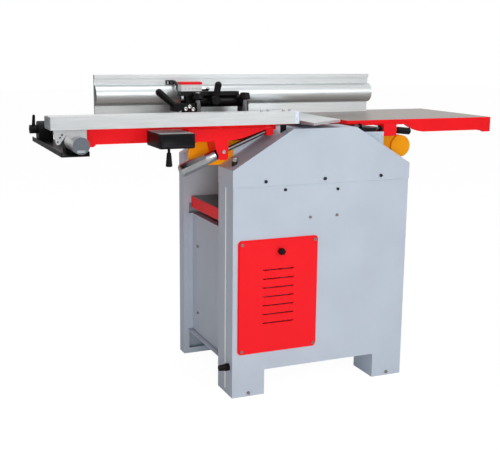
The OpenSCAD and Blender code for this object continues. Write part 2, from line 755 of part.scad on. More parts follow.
// Bracket along the outfeed table's near rib: a long lug for the lock rod, a gusset and a short lug
module lock_bracket() {
    foot = table_z - lug_low_h;
    tip = table_z - lug_high_h;
    prism_y([[lug_plate_x, plate_z], [lug_plate_x, deep_z], [lug_low[1] + lug_slant, deep_z],
        [lug_low[1], foot + lug_edge], [lug_low[1] - lug_edge, foot], [lug_low[0] + lug_edge, foot],
        [lug_low[0], foot + lug_edge], [lug_low[0], deep_z], [gusset_x, deep_z + gusset_rise],
        [lug_high[1], plate_z - lug_edge], [lug_high[1], tip + lug_edge], [lug_high[1] - lug_edge, tip],
        [lug_high[0] + lug_edge, tip], [lug_high[0], tip + lug_edge], [lug_high[0], plate_z]], lug_y);
    prism_y([[lug_low[1] + lug_slant, plate_z], [lug_low[1] + lug_slant, deep_z], [lug_low[1],
        foot + lug_edge],
        [lug_low[1] - lug_edge, foot], [lug_low[0] + lug_edge, foot], [lug_low[0], foot + lug_edge],
        [lug_low[0], plate_z]], [lug_y[0], near_wall_d - lug_back]);
}

module outfeed_table() color("red") part() difference() {
    union() {
        mirror([1, 0, 0]) {
            table_body(outfeed_len, arch_out, arch_out_run, notch_out, notch_out, thin_z, deep_z);
            lock_bracket();
        }
        for (x = [inner_arm, outer_arm]) hinge_arm([-x[1], -x[0]], table_y1 - rib_t);
    }
    lock_axis() translate([0, 0, -slide_fit]) cylinder(r = lock_rod_d / 2 + run_fit, h = 2 * outfeed_len);
    for (x = groove_x) box([-x - groove_w / 2, -x + groove_w / 2], [table_y0 - over, groove_far],
        [table_z - groove_depth, table_z + over]);
}

// Infeed table: rides up and down on two screws in its hinge arm's slots
gib_x = [200, 285];
gib_r = 4;
gib_head_r = 7;
gib_head = 5;
gib_up = 4.5;
arm_plate_t = 10;
arm_plate_x = [inner_arm[0], outer_arm[1]];
arm_plate_y = [table_y1 + slide_fit, table_y1 + slide_fit + arm_plate_t];
arm_plate_z = [plate_z - arm_root, table_z - cut_depth];
gib_z = plate_z + gib_up;
arm_bridge_z = hinge_z + knuckle_r + bracket_step;
module infeed_table() color("red") part() difference() {
    union() {
        table_body(infeed_len, arch_in, arch_in_run, notch_in + end_step, notch_in, plate_z - thin_rib_in,
            table_z - rib_in_h);
        box(lug_in, lug_y, [table_z - lug_in_h, plate_z]);
        for (x = gib_x) {
            rod_y(x, gib_z, gib_r, [table_y1 - rib_t / 2, arm_plate_y[1] + slide_fit]);
            rod_y(x, gib_z, gib_head_r, [arm_plate_y[1] + slide_fit,
                arm_plate_y[1] + slide_fit + gib_head]);
        }
    }
    spindle_axis() cylinder(r = spindle_r + run_fit, h = infeed_len);
}

slot_play = 0.4;
module infeed_hinge_arm() color("darkred") part() difference() {
    union() {
        box(arm_plate_x, arm_plate_y, arm_plate_z);
        for (x = [inner_arm, outer_arm]) hinge_arm(x, arm_plate_y[0]);
    }
    box(bracket_x + [-arm_gap, arm_gap], [arm_plate_y[0] - over, arm_plate_y[1] + over],
        [arm_plate_z[0] - over, arm_bridge_z]);
    for (x = gib_x) {
        box([x - gib_r - slot_play, x + gib_r + slot_play], [arm_plate_y[0] - over,
            hinge_y + knuckle_r + over],
            [gib_z - cut_depth - gib_r - slot_play, table_z + over]);
        box([x - gib_head_r - slot_play, x + gib_head_r + slot_play], [arm_plate_y[1],
            hinge_y + knuckle_r + over],
            [gib_z - cut_depth - gib_head_r - slot_play, table_z + over]);
    }
}

// Lock rod with its handle, and the depth spindle with its knob
lock_len_x = 299;
neck_x = [346, 383];
handle_x = [383, 463];
neck_r = 13.5;
handle_edge = 4;
neck_gap = 10;
collar_r = 16;
collar_t = 5;
function lock_s(x) = (x - lock_top_x) / lock_cos;
module outfeed_lock_rod() color("silver") part() lock_axis() {
    cylinder(r = lock_rod_d / 2, h = lock_s(handle_x[0]));
}
handle_flats = 8;
module outfeed_lock_handle() color("gainsboro") part() lock_axis() {
    start = lock_s(neck_x[0]) + neck_gap;
    grip = lock_s(handle_x[0]);
    end = lock_s(handle_x[1]);
    r = lock_handle_d / 2;
    difference() {
        rotate_extrude() polygon([[0, start], [collar_r, start], [collar_r, start + collar_t],
            [neck_r, start + collar_t], [neck_r, grip], [0, grip]]);
        translate([0, 0, start - over]) cylinder(r = lock_rod_d / 2 + run_fit, h = grip - start + over);
    }
    rotate([0, 0, 180 / handle_flats]) {
        translate([0, 0, grip]) cylinder(r = r, h = end - handle_edge - grip, $fn = handle_flats);
        translate([0, 0, end - handle_edge]) cylinder(r1 = r, r2 = r - handle_edge, h = handle_edge,
            $fn = handle_flats);
    }
}

spindle_knob_x = [299, 350];
spindle_knob_r = 11.5;
spindle_cap = 3;
function spindle_s(x) = (x - spindle_top_x) / spindle_cos;
module depth_spindle() color("black") part() spindle_axis() {
    cylinder(r = spindle_r, h = spindle_s(spindle_knob_x[0]));
    translate([0, 0, spindle_s(spindle_knob_x[0])]) rotate_extrude() polygon([[0, 0],
        [spindle_knob_r - spindle_cap, 0], [spindle_knob_r, spindle_cap],
        [spindle_knob_r, spindle_s(spindle_knob_x[1]) - spindle_s(spindle_knob_x[0]) - spindle_cap],
        [spindle_knob_r - spindle_cap, spindle_s(spindle_knob_x[1]) - spindle_s(spindle_knob_x[0])],
        [0, spindle_s(spindle_knob_x[1]) - spindle_s(spindle_knob_x[0])]]);
}

// Thicknessing table, its sleeves, columns and screw
thick_gap = 8;
thick_y = [inner_y0 + thick_gap, inner_y1 - head_plate_t - thick_gap];
thick_plate = 14;
thick_rib = 12;
column_r = 18;
column_in = 31;
sleeve_r = 26;
sleeve_low = 300;
column_off = (thick_y[1] - thick_y[0]) / 2 - thick_rib - sleeve_r - column_in;
column_top = thick_z - thick_t;
column_base_r = 32;
column_base = 12;
screw_r = 11;
screw_top = 520;
nut_r = 20;
bevel_r = 38;
bevel_small_r = 24;
bevel_gap = 0.4;
screw_foot_r = 18;
module thicknesser_table() color("red") part() {
    x = [-thick_len / 2, thick_len / 2];
    low = thick_z - thick_t;
    box(x, thick_y, [thick_z - thick_plate, thick_z]);
    for (y = [[thick_y[0], thick_y[0] + thick_rib], [thick_y[1] - thick_rib, thick_y[1]]])
        box(x, y, [low, thick_z - thick_plate]);
    for (e = [[x[0], x[0] + thick_rib], [x[1] - thick_rib, x[1]]])
        box(e, thick_y, [low, thick_z - thick_plate]);
    for (e = [-thick_len / 4, thick_len / 4])
        box([e - thick_rib / 2, e + thick_rib / 2], thick_y, [low, thick_z - thick_plate]);
}

module sleeve(y, outer, inner, low) difference() {
    rod_z(0, y, outer, [low, thick_z - thick_plate]);
    rod_z(0, y, inner + run_fit, [low - over, thick_z - thick_plate - over]);
}
module lift_sleeves() color("dimgray") part() {
    for (y = [lift_y - column_off, lift_y + column_off]) sleeve(y, sleeve_r, column_r, sleeve_low);
    sleeve(lift_y, nut_r, screw_r, sleeve_low + sleeve_r);
}

module lift_columns() color("silver") part()
    for (y = [lift_y - column_off, lift_y + column_off]) {
        rod_z(0, y, column_r, [shelf_z + shelf_t, column_top - column_r - bush_r]);
        rod_z(0, y, column_base_r, [shelf_z + shelf_t, shelf_z + shelf_t + column_base]);
    }

module bevel(gap) cylinder(r1 = bevel_r - gap, r2 = bevel_small_r - gap, h = bevel_r - bevel_small_r);
module lift_screw() color("silver") part() translate([0, lift_y, 0]) {
    rod_z(0, 0, screw_r, [shelf_z + shelf_t + slide_fit, screw_top]);
    rod_z(0, 0, screw_foot_r, [shelf_z + shelf_t + slide_fit, wheel_shaft_z - bevel_r]);
    translate([0, 0, wheel_shaft_z - bevel_r]) bevel(bevel_gap);
}

// Rise and fall handwheel on the infeed end, with its shaft, bevel pinion and grip
rim_r = 9;
hub_r = 18;
spoke_r = 6;
spoke_count = 3;
wheel_out = 48;
wheel_x = panel_x + wheel_out;
hub_len = 26;
wheel_r = wheel_d / 2 - rim_r;
grip_r = 10;
grip_len = 60;
grip_pin_r = 4;
grip_taper = 2;
grip_gap = 2;
module handwheel() color("black") part() translate([0, lift_y, wheel_shaft_z]) {
    rod_x(0, 0, wheel_shaft_r, [bevel_small_r, wheel_x]);
    translate([bevel_r, 0, 0]) rotate([0, -90, 0]) bevel(bevel_gap);
    rod_x(0, 0, hub_r, [wheel_x - hub_len / 2, wheel_x + hub_len / 2]);
    translate([wheel_x, 0, 0]) rotate([0, 90, 0]) rotate_extrude() translate([wheel_r,
        0]) circle(r = rim_r);
    for (i = [0:spoke_count - 1]) translate([wheel_x, 0, 0]) rotate([i * 360 / spoke_count, 0, 0])
        rod_z(0, 0, spoke_r, [hub_r - spoke_r, wheel_r]);
    rod_x(0, wheel_r, grip_pin_r, [wheel_x, wheel_x + rim_r + grip_len - grip_r]);
}
module handwheel_grip() color("black") part() translate([wheel_x + rim_r, lift_y, wheel_shaft_z + wheel_r])
    rotate([0, 90, 0]) difference() {
        rotate_extrude() polygon([[0, grip_gap], [grip_r - grip_taper, grip_gap], [grip_r, grip_len / 2],
            [grip_r - grip_taper, grip_len],
            [0, grip_len]]);
        cylinder(r = grip_pin_r + run_fit, h = grip_len - grip_r);
    }
module wheel_bush() color("goldenrod") part() difference() {
    rod_x(lift_y, wheel_shaft_z, bush_r, [panel_x - bush_len / 2, panel_x + bush_len / 2]);
    rod_x(lift_y, wheel_shaft_z, wheel_shaft_r + run_fit, [panel_x - bush_len, panel_x + bush_len]);
}

// Fence: plate, top bead and hollow half-round stiffener in one section
fence_lift = 1.5;
fence_z0 = table_z + fence_lift;
fence_z1 = fence_z0 + fence_h;
bead_h = 13;
bead_out = 6;
bulge_drop = 67;
bulge_t = 3;
bulge_z = fence_z1 - bulge_drop;
fence_x = [-fence_out, fence_len - fence_out];
tilt_y = fence_y + fence_t;
tilt_z = fence_z0;
module fence_section() {
    translate([fence_y, fence_z0]) square([fence_t, fence_h]);
    translate([fence_y - bead_out, fence_z1 - bead_h]) square([bead_out + fence_t, bead_h]);
    difference() {
        translate([fence_y, bulge_z]) circle(r = bulge_r);
        translate([fence_y, bulge_z]) circle(r = bulge_r - bulge_t);
        translate([fence_y + fence_t / 2, bulge_z - bulge_r]) square([2 * bulge_r, 2 * bulge_r]);
    }
}
module fence() color("silver") part() translate([fence_x[0], 0, 0]) rotate([90, 0,
    90]) linear_extrude(fence_len)
    fence_section();

// Curved tilt band about the fence's lower working edge
band_x = [-371, -361];
tab_x = [-391, -361];
tab_hole = 8;
tab_hole_at = [-384, -371];
band_r = 115;
band_t = 4;
band_from = 96;
band_to = 172;
jaw_from = 119;
jaw_to = 127;
jaw_t = 8;
jaw_reach = 6;
tab_t = 4;
tab_h = 20;
band_big = 3 * band_r;
module arc_sector(r0, r1, from, to, x) translate([x[0], tilt_y, tilt_z]) rotate([90, 0, 90])
    linear_extrude(x[1] - x[0]) intersection() {
        difference() {
            circle(r = r1);
            circle(r = r0);
        }
        polygon([[0, 0], [band_big * cos(from), band_big * sin(from)],
            [band_big * cos((from + to) / 2), band_big * sin((from + to) / 2)],
            [band_big * cos(to), band_big * sin(to)]]);
    }
module tilt_band() color("dimgray") part() {
    arc_sector(band_r, band_r + band_t, band_from, band_to, band_x);
    difference() {
        box(tab_x, [fence_y - tab_t, fence_y], [tilt_z + band_r - tab_h / 2, tilt_z + band_r + band_t]);
        for (x = tab_hole_at) box([x - tab_hole / 2, x + tab_hole / 2], [fence_y - tab_t - over,
            fence_y + over],
            [tilt_z + band_r - tab_hole / 2 - tab_t, tilt_z + band_r + tab_hole / 2 - tab_t]);
    }
    box(band_x, [tilt_y - band_r * sin(band_from - 90) - tab_t, fence_y], [tilt_z + band_r - band_t / 2,
        tilt_z + band_r + band_t / 2]);
}

// Fence carrier: base with keys in the table grooves, round beam, rail, scale box, jaws, lever bosses
base_x = [-360, -135];
base_y = [250, 345];
base_t = 14;
base_lift = 0.4;
key_fit = 0.3;
key_y = [255, 340];
head_x = [-360, -335];
body_y = [296, 345];
foot_x = [-160, -140];
beam_x = [-345, -150];
beam_r = 20;
beam_y = 318;
beam_up = 56;
rail_x = [-382, -177];
rail_y = [290, 325];
rail_z = [75, 88];
scale_x = [-374, -305];
scale_y = [305, 340];
scale_h = 29;
boss_x = [-424, -360];
boss_y = [262, 280];
boss_z = [30, 52];
slide_pin = [-411, 41];
tilt_pin = [-272, 61];
lever_pin_r = 5;
lever_pin_len = 26;
tilt_stand = 20;
cheek_x = [-358, -352];
link_y1 = 366;
link_z = [90, 110];
base_z0 = table_z + base_lift;
base_z1 = base_z0 + base_t;
body_z1 = table_z + rail_z[1];
module fence_carrier() color("#222222") part() {
    box(base_x, base_y, [base_z0, base_z1]);
    for (x = groove_x) box([-x - groove_w / 2 + key_fit, -x + groove_w / 2 - key_fit], key_y,
        [table_z - groove_depth + key_fit, base_z0]);
    box(head_x, body_y, [base_z1, body_z1]);
    box(foot_x, body_y, [base_z1, table_z + beam_up]);
    rod_x(beam_y, table_z + beam_up, beam_r, beam_x);
    box(rail_x, rail_y, [table_z + rail_z[0], body_z1]);
    box(scale_x, scale_y, [body_z1, body_z1 + scale_h]);
    box(boss_x, boss_y, [table_z + boss_z[0], table_z + boss_z[1]]);
    box([base_x[0], base_x[0] + boss_y[1] - boss_y[0]], boss_y, [base_z1, table_z + boss_z[1]]);
    rod_y(slide_pin[0], table_z + slide_pin[1], lever_pin_r, [boss_y[0] - lever_pin_len, boss_y[0]]);
    rod_y(tilt_pin[0], table_z + tilt_pin[1], lever_pin_r, [body_y[0] - tilt_stand - lever_pin_len,
        beam_y]);
    box([cheek_x[1], cheek_x[1] + jaw_t], [scale_y[1] - jaw_t, link_y1], [table_z + link_z[0],
        table_z + link_z[1]]);
    arc_sector(band_r + band_t + slide_fit, band_r + band_t + slide_fit + jaw_t, jaw_from, jaw_to,
        [band_x[0], cheek_x[1]]);
    arc_sector(band_r - slide_fit - jaw_t, band_r - slide_fit, jaw_from, jaw_to, [band_x[0], cheek_x[1]]);
    arc_sector(band_r - slide_fit - jaw_t, band_r + band_t + slide_fit + jaw_t, jaw_from, jaw_to,
        [cheek_x[0], cheek_x[1] + jaw_t]);
}

post_r = 9;
post_y = 272;
post_h = 62;
cap_r = 19;
cap_h = 22;
cap_edge = 4;
rod_bar_r = 5;
rod_bar_y = 286;
rod_bar_z = 68;
module clamp_posts() color("#222222") part() {
    for (x = groove_x) translate([-x, post_y, 0]) {
        rod_z(0, 0, post_r, [base_z1, table_z + post_h]);
        translate([0, 0, table_z + post_h]) rotate_extrude() polygon([[0, 0], [cap_r - cap_edge, 0],
            [cap_r, cap_edge],
            [cap_r - cap_edge, cap_h], [0, cap_h]]);
    }
}

// Levers: a hub on its pin and an arm with a tapered, round-ended grip
lever_hub_r = 14;
lever_hub_len = 24;
lever_arm_r = 9;
lever_tip_r = 11.5;
module lever_grip(len, arm_r, tip_r) rotate_extrude() union() {
    polygon([[0, 0], [arm_r, 0], [tip_r, len - tip_r], [0, len - tip_r]]);
    intersection() {
        translate([0, len - tip_r]) circle(r = tip_r);
        square([tip_r, len]);
    }
}
module lever(pin, y1, len, angle) translate([pin[0], y1, table_z + pin[1]]) {
    difference() {
        union() {
            rod_y(0, 0, lever_hub_r, [-lever_hub_len, 0]);
            translate([0, -lever_hub_len / 2, 0]) rotate([0, angle, 0]) lever_grip(len, lever_arm_r,
                lever_tip_r);
        }
        rod_y(0, 0, lever_pin_r + run_fit, [-lever_hub_len - over, over]);
    }
}
slide_lever_len = 86;
slide_lever_angle = -50;
tilt_lever_len = 62;
tilt_lever_angle = 12;
module fence_slide_lever() color("#222222") part()
    lever(slide_pin, boss_y[0] - slide_fit, slide_lever_len, slide_lever_angle);
module fence_tilt_lever() color("#222222") part()
    lever(tilt_pin, body_y[0] - tilt_stand, tilt_lever_len, tilt_lever_angle);

// Plate over the cutterblock behind the fence, tied to the carrier
cover_lift = 2;
plate_h = 8;
cover_half = 62;
cover_far = 380;
cover_near = 22;
cover_bar_gap = 21;
cover_tip_x = bar_x0 + bar_len + cover_bar_gap;
strip_y = [300, 340];
module cutter_cover() color("silver") part() translate([0, 0, table_z + cover_lift]) linear_extrude(plate_h)
    polygon([[cover_tip_x, cover_tip_y], [cover_half + max(0, cover_tip_x), cover_near],
        [cover_half + max(0, cover_tip_x), strip_y[0] / 2], [cover_half, cover_far],
        [-cover_half, cover_far], [-cover_half, strip_y[1]], [base_x[1], strip_y[1]], [base_x[1],
            strip_y[0]],
        [-cover_half, strip_y[0]], [cover_tip_x, strip_y[0] / 2]]);

// Guard bar on a sleeve that turns on a pivot at the outfeed table's end
bar_y0 = -18;
bar_lift = 3.5;
bar_t = 3;
bar_edge = 8;
bar_z0 = table_z + bar_lift;
bar_z1 = bar_z0 + bar_h;
bar_x1 = bar_x0 + bar_len;
pivot_out = 34;
pivot_drop = 39;
pivot_x = -outfeed_len - pivot_out;
pivot_z = table_z - pivot_drop;
sleeve_out_r = 24;
sleeve_y = [-45, 68];
guard_pin_r = 10;
sleeve_cap = 4;
sleeve_slot_h = 7;
sleeve_slot_drop = 12;
sleeve_slot_d = 3;
lug_plate_y = [-8, 0];
lug_tip = 42;
lug_out_shares = [0.21, 0.38, 0.45, 0.6, 1.07];
lug_drop_shares = [0, 0.9, 1, 0.98, 0.36];
lug_hole_r = 3;
lug_hole_shares = [[0.5, 0.8], [0.66, 0.52], [0.8, 0.34]];
module bar_section(i) polygon([[bar_y0 + i, bar_z0 + i], [bar_y0 + bar_d - i, bar_z0 + i],
    [bar_y0 + bar_d - i, bar_z1 - bar_edge], [bar_y0 + bar_d - bar_edge, bar_z1 - i], [bar_y0 + i,
        bar_z1 - i]]);
module guard_bar() color("silver") part() translate([bar_x0, 0, 0]) rotate([90, 0, 90]) difference() {
    linear_extrude(bar_len) bar_section(0);
    translate([0, 0, bar_t]) linear_extrude(bar_len - 2 * bar_t) bar_section(bar_t);
}
module guard_bracket() color("gainsboro") part() difference() {
    prism_y(concat([for (i = [0:len(lug_out_shares) - 1])
        [bar_x0 + lug_tip * lug_out_shares[i], bar_z0 - lug_tip * lug_drop_shares[i]]],
        [[pivot_x, pivot_z], [pivot_x + sleeve_out_r, pivot_z + sleeve_out_r / 2],
        [pivot_x + sleeve_out_r, bar_z0]]), lug_plate_y);
    for (h = lug_hole_shares) rod_y(bar_x0 + lug_tip * h[0], bar_z0 - lug_tip * h[1], lug_hole_r,
        [lug_plate_y[0] - over, lug_plate_y[1] + over]);
    rod_y(pivot_x, pivot_z, sleeve_out_r + run_fit, [lug_plate_y[0] - over, lug_plate_y[1] + over]);
}
module guard_sleeve() color("silver") part() difference() {
    rod_y(pivot_x, pivot_z, sleeve_out_r, sleeve_y);
    rod_y(pivot_x, pivot_z, guard_pin_r + run_fit, [sleeve_y[0] + sleeve_cap, sleeve_y[1] + over]);
    box([pivot_x - sleeve_slot_drop, pivot_x + sleeve_slot_drop], [sleeve_y[0] - over,
        sleeve_y[0] + sleeve_slot_d],
        [pivot_z - sleeve_slot_drop - sleeve_slot_h, pivot_z - sleeve_slot_drop]);
}
pivot_block_y = [70, 112];
pivot_block_w = 40;
channel_z = 795;
channel_t = 3;
channel_y = [4, 470];
channel_w = 80;
channel_h = 14;
channel_tall = 50;
module guard_pivot() color("dimgray") part() {
    rod_y(pivot_x, pivot_z, guard_pin_r, [sleeve_y[0] + sleeve_cap + slide_fit, pivot_block_y[0]]);
    box([pivot_x - pivot_block_w / 2, pivot_x + pivot_block_w / 2], pivot_block_y,
        [channel_z + channel_t, pivot_z + guard_pin_r + channel_t]);
}
module end_channel() color("#222222") part() {
    x = [-outfeed_len - channel_w, -outfeed_len];
    box(x, channel_y, [channel_z, channel_z + channel_t]);
    box([x[0], x[0] + channel_t], channel_y, [channel_z, channel_z + channel_h]);
    box([x[1] - channel_t, x[1]], channel_y, [channel_z, channel_z + channel_h]);
    box([x[1] - channel_t, x[1]], [table_y0, channel_y[1]], [channel_z, channel_z + channel_tall]);
}
housing_y = [404, 456];
housing_x = [70, 24];
housing_h = 68;
module end_clamp_housing() color("#222222") part() {
    x = [-outfeed_len - housing_x[0], -outfeed_len - housing_x[1]];
    r = (housing_y[1] - housing_y[0]) / 2;
    mid = (housing_y[0] + housing_y[1]) / 2;
    box(x, housing_y, [channel_z + channel_t, channel_z + housing_h - r]);
    rod_x(mid, channel_z + housing_h - r, r, x);
    rod_x(mid, channel_z + housing_h - r, lever_pin_r, [x[0] - lever_pin_len, x[0]]);
}
end_lever_len = 50;
end_arm_r = 6;
end_tip_r = 4.5;
end_lever_angle = 18;
module end_clamp_lever() color("#222222") part() {
    r = (housing_y[1] - housing_y[0]) / 2;
    translate([-outfeed_len - housing_x[0] - slide_fit, (housing_y[0] + housing_y[1]) / 2,
        channel_z + housing_h - r])
        difference() {
            union() {
                rod_x(0, 0, lever_hub_r, [-lever_hub_len, 0]);
                translate([-lever_hub_len / 2, 0, 0]) rotate([end_lever_angle, 0, 0])
                    lever_grip(end_lever_len, end_arm_r, end_tip_r);
            }
            rod_x(0, 0, lever_pin_r + run_fit, [-lever_hub_len - over, over]);
        }
}

// Latch box on the outfeed table's near rib with its turning handle
latch_x = [-563, -456];
latch_y0 = -55;
latch_z = [-56, -12];
latch_stem_r = 4;
latch_at = [-525, -20];
latch_seat_d = 12;
latch_stem = 13;
latch_grip_len = 42;
latch_grip_r = [6.5, 10];
latch_edge = 2;
latch_seat = 2;
module latch_box() color("#222222") part() difference() {
    box(latch_x, [latch_y0, table_y0], [table_z + latch_z[0], table_z + latch_z[1]]);
    rod_z(latch_at[0], latch_at[1], latch_stem_r + run_fit, [table_z + latch_z[0] - over,
        table_z + latch_z[0] + latch_seat_d]);
}
module latch_handle() color("#222222") part() translate([latch_at[0], latch_at[1], table_z + latch_z[0]]) {
    rod_z(0, 0, latch_stem_r, [-latch_stem, latch_seat_d - latch_seat]);
    translate([0, 0, -latch_stem - latch_grip_len]) rotate_extrude() polygon([[0, 0],
        [latch_grip_r[1] - latch_edge, 0],
        [latch_grip_r[1], latch_edge], [latch_grip_r[0], latch_grip_len - latch_edge],
        [latch_stem_r, latch_grip_len], [0, latch_grip_len]]);
}

// Switch box on the far wall with its two push buttons
switch_x = [-60, 20];
switch_z = [560, 680];
switch_d = 26;
button_r = 13;
button_out = 8;
button_travel = 4;
button_in = 14;
button_off = 28;
switch_y1 = cabinet_d + switch_d;
module button_at(i) {
    z = (switch_z[0] + switch_z[1]) / 2 + i * button_off;
    x = (switch_x[0] + switch_x[1]) / 2;
    translate([x, 0, z]) children();
}
module switch_box() color("dimgray") part() difference() {
    box(switch_x, [cabinet_d, switch_y1], switch_z);
    for (i = [-1, 1]) button_at(i) rod_y(0, 0, button_r + slide_fit,
        [switch_y1 - button_in - button_travel, switch_y1 + over]);
}
module push_button(i) button_at(i) rod_y(0, 0, button_r, [switch_y1 - button_in + slide_fit,
    switch_y1 + button_out]);
module start_button() color("green") part() push_button(1);
module stop_button() color("red") part() push_button(-1);

near_side_frame();
near_inner_frame();
near_head_panel();
far_side_frame();
far_head_plate();
left_cross_panel();
right_cross_panel();
base_shelf();
drive_cover();
cover_knob();
frame_bolts();
cable_gland();
motor_body();
motor_mount();
motor_pulley();
drive_belt();
cutterblock();
cutter_knives();
cutter_pulley();
cutter_bearings();
infeed_roller();
outfeed_roller();
roller_blocks();
chip_hood();
lock_catches();
table_rest_bolts();
hinge_brackets();
hinge_pins();
thicknesser_table();
lift_sleeves();
lift_columns();
lift_screw();
handwheel();
handwheel_grip();
wheel_bush();
outfeed_table();
infeed_table();
infeed_hinge_arm();
fence();
tilt_band();
fence_carrier();
clamp_posts();
fence_slide_lever();
fence_tilt_lever();
cutter_cover();
guard_bar();
guard_bracket();
guard_sleeve();
guard_pivot();
end_channel();
end_clamp_housing();
end_clamp_lever();
outfeed_lock_rod();
outfeed_lock_handle();
depth_spindle();
latch_box();
latch_handle();
switch_box();
start_button();
stop_button();
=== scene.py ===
import json
import math

import bpy
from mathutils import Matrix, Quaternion, Vector


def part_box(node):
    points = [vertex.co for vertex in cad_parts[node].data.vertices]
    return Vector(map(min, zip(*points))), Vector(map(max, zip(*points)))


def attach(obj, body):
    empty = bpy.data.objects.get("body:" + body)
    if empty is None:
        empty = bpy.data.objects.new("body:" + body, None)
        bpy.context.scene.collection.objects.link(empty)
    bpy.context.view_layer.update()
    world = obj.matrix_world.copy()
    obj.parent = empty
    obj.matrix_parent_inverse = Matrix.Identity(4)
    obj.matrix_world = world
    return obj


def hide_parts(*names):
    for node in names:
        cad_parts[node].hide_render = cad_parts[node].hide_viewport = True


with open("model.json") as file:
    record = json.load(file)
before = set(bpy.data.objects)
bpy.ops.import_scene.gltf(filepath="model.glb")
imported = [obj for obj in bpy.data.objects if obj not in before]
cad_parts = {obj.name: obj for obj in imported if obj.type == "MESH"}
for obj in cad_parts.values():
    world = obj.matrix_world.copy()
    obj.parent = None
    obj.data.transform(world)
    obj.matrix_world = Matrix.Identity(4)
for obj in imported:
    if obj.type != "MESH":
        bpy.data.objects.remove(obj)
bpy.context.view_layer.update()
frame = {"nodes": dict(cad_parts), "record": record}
nodes = frame["nodes"]
scene = bpy.context.scene
scene.view_settings.view_transform = "Standard"

# Drawing sizes are in millimetres from the cabinet's near wall and centre line.
# The frame's origin lies at this place of the drawing.
ORIGIN_X = -86
ORIGIN_Y = 234.5

LEFT, RIGHT = (-1, 0, 0), (1, 0, 0)
NEAR, FAR = (0, -1, 0), (0, 1, 0)
DOWN, UP = (0, 0, -1), (0, 0, 1)
FACING = 0.9    # cosine above which a face counts as looking a given way


def at(x, y, z):
    """A place of the drawing, as a place in the frame in metres."""
    return Vector(((x - ORIGIN_X) / 1000, (y - ORIGIN_Y) / 1000, z / 1000))


# Camera, fitted to the cabinet and table corners of the photograph
def place_camera():
    eye = Vector((-1.2423, -2.7136, 1.1101))
    yaw, pitch, roll = (math.radians(angle) for angle in (23.36, -11.45, 0.59))
    level = math.cos(pitch)
    look = Vector((math.sin(yaw) * level, math.cos(yaw) * level, math.sin(pitch)))
    bpy.ops.object.camera_add(location=eye)
    camera = bpy.context.object
    camera.name = "photo_camera"
    camera.rotation_mode = "QUATERNION"
    camera.rotation_quaternion = look.to_track_quat("-Z", "Y") @ Quaternion((0, 0, 1), roll)
    camera.data.sensor_width = 36
    camera.data.lens = 64.09
    camera.data.clip_end = 60
    scene.camera = camera


# Small helpers for node trees
def new_finish(name):
    finish = bpy.data.materials.new(name)
    finish.use_nodes = True
    tree = finish.node_tree
    return finish, tree, tree.nodes["Principled BSDF"]


def node(tree, kind, **values):
    made = tree.nodes.new(kind)
    for key, value in values.items():
        if hasattr(made, key):
            setattr(made, key, value)
        else:
            made.inputs[key].default_value = value
    return made


def object_place(tree, stretch=(1, 1, 1)):
    place = node(tree, "ShaderNodeTexCoord")
    mapping = node(tree, "ShaderNodeMapping", Scale=stretch)
    tree.links.new(place.outputs["Object"], mapping.inputs["Vector"])
    return mapping.outputs["Vector"]


def noise(tree, vector, scale, detail):
    made = node(tree, "ShaderNodeTexNoise", Scale=scale, Detail=detail, Roughness=0.55)
    tree.links.new(vector, made.inputs["Vector"])
    return made.outputs["Fac"]


def tone(tree, fac, colour, amount):
    """A colour that runs from darker to lighter by a share of itself."""
    made = node(tree, "ShaderNodeValToRGB")
    ends = ((0.3, 1 - amount), (0.7, 1 + amount))
    for stop, (position, share) in zip(made.color_ramp.elements, ends):
        stop.position = position
        stop.color = (*(min(1, c * share) for c in colour), 1)
    tree.links.new(fac, made.inputs["Fac"])
    return made.outputs["Color"]


def spread(tree, fac, low, high):
    made = node(tree, "ShaderNodeMapRange")
    made.inputs["To Min"].default_value = low
    made.inputs["To Max"].default_value = high
    tree.links.new(fac, made.inputs["Value"])
    return made.outputs["Result"]


def uneven(tree, fac, roughness, below=0.08, above=0.1):
    return spread(tree, fac, roughness - below, roughness + above)


def bump(tree, height, strength, distance):
    made = node(tree, "ShaderNodeBump", Strength=strength, Distance=distance)
    tree.links.new(height, made.inputs["Height"])
    return made.outputs["Normal"]


def math_node(tree, operation, one, other):
    """A math node's operation on two values, each a socket or a number."""
    made = node(tree, "ShaderNodeMath", operation=operation)
    for socket, value in zip(made.inputs, (one, other)):
        if isinstance(value, (int, float)):
            socket.default_value = value
        else:
            tree.links.new(value, socket)
    return made.outputs[0]


def mixed(tree, mask, low, high, kind="RGBA"):
    made = node(tree, "ShaderNodeMix", data_type=kind)
    ends = [s for s in made.inputs if s.enabled and s.name in ("A", "B")]
    tree.links.new(mask, made.inputs["Factor"])
    tree.links.new(low, ends[0])
    tree.links.new(high, ends[1])
    return next(s for s in made.outputs if s.enabled)


def wire(tree, shader, colour, roughness, normal):
    tree.links.new(colour, shader.inputs["Base Color"])
    tree.links.new(roughness, shader.inputs["Roughness"])
    tree.links.new(normal, shader.inputs["Normal"])


# Masks: 1 on part of a piece, 0 on the rest of it
def axis_value(tree, output, axis):
    place = node(tree, "ShaderNodeTexCoord")
    part = node(tree, "ShaderNodeSeparateXYZ")
    tree.links.new(place.outputs[output], part.inputs["Vector"])
    return part.outputs[axis]


def past(axis, limit, output="Object"):
    """Where the place, or the normal, passes a limit."""
    return lambda tree: math_node(tree, "GREATER_THAN", axis_value(tree, output, axis), limit)


def both(tree, one, other):
    return math_node(tree, "MULTIPLY", one, other)


def painted_shade_ends(tree):
    """The faces that look along the length of a section, painted dark on the fence as painted shade."""
    along = math_node(tree, "ABSOLUTE", axis_value(tree, "Normal", "X"), 0)
    return math_node(tree, "GREATER_THAN", along, FACING)


def dark_heads(tree):
    """The blackened fasteners: those on the near wall above its lowest small row."""
    above_row = past("Z", at(0, 0, 595).z)(tree)
    beyond_wall = past("Y", at(0, 100, 0).y)(tree)
    return both(tree, above_row, spread(tree, beyond_wall, 1.0, 0.0))


